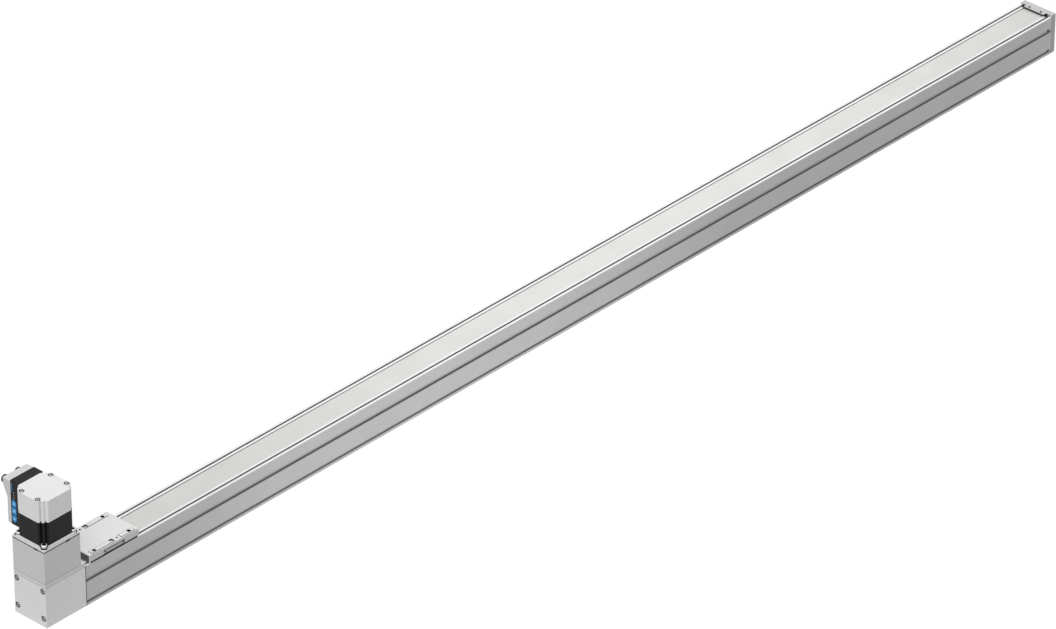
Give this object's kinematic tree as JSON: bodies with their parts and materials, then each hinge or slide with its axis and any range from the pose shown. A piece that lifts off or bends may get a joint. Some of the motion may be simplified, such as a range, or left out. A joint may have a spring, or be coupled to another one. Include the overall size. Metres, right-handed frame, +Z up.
{
  "type": "belt driven linear axis",
  "caption": "Long belt driven linear axis: aluminium guide profile with steel cover strip, slide with threaded top, right-angle drive head with motor and push-button drive box, end cap.",
  "frame": {"origin": "middle of the guide profile's flat underside, at mid-length of the profile", "axes": "+X from the drive head to the end cap, +Z up through the slide's mounting face, +Y to the side with the drive box"},
  "size_m": [2.0943, 0.0952, 0.1939],
  "materials": {
    "anodised_aluminium": "satin natural anodised, fine lines along the profile",
    "head_aluminium": "fine milled and anodised, matt",
    "slide_aluminium": "fine milled and anodised",
    "strip_steel": "bright rolled strip",
    "rail_steel": "ground",
    "screw_steel": "zinc plated",
    "dark_screw_steel": "black oxide",
    "belt_rubber": "moulded belt",
    "buffer_rubber": "matt",
    "spider_rubber": "cast polyurethane",
    "black_coating": "satin black",
    "light_casting": "fine sprayed light grey",
    "black_plastic": "fine moulded grain",
    "grey_plastic": "fine moulded grain",
    "wiper_plastic": "moulded",
    "button_blue": "satin membrane",
    "light_plastic": "clear light pipe",
    "connector_dark": "nickel plated and darkened",
    "magnet_dark": "bonded magnet"
  },
  "bodies": {
    "axis_frame": {"guide_profile": "anodised_aluminium", "guide_rail": "rail_steel", "rail_screws": "screw_steel", "cover_strip": "strip_steel", "magnet_strips": "magnet_dark", "toothed_belt": "belt_rubber", "end_cap": "anodised_aluminium", "end_cap_screws": "screw_steel", "strip_clamp_screws": "screw_steel", "end_buffers": "buffer_rubber", "idler_bracket": "rail_steel", "idler_axle": "rail_steel", "tension_screw": "screw_steel", "drive_head_housing": "head_aluminium", "drive_head_cover": "head_aluminium", "head_screws": "screw_steel", "shaft_bearings": "rail_steel", "coupling_housing": "anodised_aluminium", "housing_screws": "screw_steel", "motor_plate": "head_aluminium", "motor_flange_screws": "screw_steel", "motor_stack": "black_coating", "motor_rear_housing": "light_casting", "motor_cover_screws": "screw_steel", "motor_bearings": "rail_steel", "drive_box_body": "black_plastic", "drive_box_cover": "grey_plastic", "status_lights": "light_plastic", "power_connector": "connector_dark", "logic_connector": "connector_dark"},
    "drive_shaft": {"motor_rotor": "rail_steel", "coupling_hub_motor": "slide_aluminium", "coupling_spider": "spider_rubber", "coupling_hub_pulley": "slide_aluminium", "pulley_shaft": "rail_steel", "drive_pulley": "slide_aluminium"},
    "idler": {"idler_pulley": "slide_aluminium", "idler_bearings": "rail_steel"},
    "slide": {"slide_plate": "slide_aluminium", "slide_neck": "slide_aluminium", "runner_block": "rail_steel", "runner_end_caps": "black_plastic", "carriage_screws": "screw_steel", "belt_clamp": "slide_aluminium", "belt_clamp_screws": "screw_steel", "flange_screws": "screw_steel", "side_seals": "wiper_plastic", "slide_end_wipers": "wiper_plastic", "strip_guides": "wiper_plastic", "lubrication_plugs": "screw_steel"},
    "lower_key": {"lower_button": "button_blue"},
    "middle_key": {"middle_button": "button_blue"},
    "upper_key": {"upper_button": "button_blue"}
  },
  "joints": [
    {"name": "slide_travel", "type": "slide", "parent": "axis_frame", "child": "slide", "axis": [1, 0, 0], "range_m": [0, 1.9], "deforming": ["cover_strip", "toothed_belt"]},
    {"name": "drive_shaft_turn", "type": "hinge", "parent": "axis_frame", "child": "drive_shaft", "pos_m": [-1.04425, 0, 0.032], "axis": [0, 0, 1], "continuous": true},
    {"name": "idler_turn", "type": "hinge", "parent": "axis_frame", "child": "idler", "pos_m": [0.9875, 0, 0.032], "axis": [0, 0, 1], "continuous": true},
    {"name": "lower_button_press", "type": "slide", "parent": "axis_frame", "child": "lower_key", "axis": [1, 0, 0], "range_m": [0, 0.0008], "stiffness_N_per_m": 1500, "springref_m": -0.0006},
    {"name": "middle_button_press", "type": "slide", "parent": "axis_frame", "child": "middle_key", "axis": [1, 0, 0], "range_m": [0, 0.0008], "stiffness_N_per_m": 1500, "springref_m": -0.0006},
    {"name": "upper_button_press", "type": "slide", "parent": "axis_frame", "child": "upper_key", "axis": [1, 0, 0], "range_m": [0, 0.0008], "stiffness_N_per_m": 1500, "springref_m": -0.0006}
  ],
  "couplings": [
    {"joint": "drive_shaft_turn", "follows": "slide_travel", "rad_per_m": 80.554},
    {"joint": "idler_turn", "follows": "slide_travel", "rad_per_m": 80.554}
  ]
}
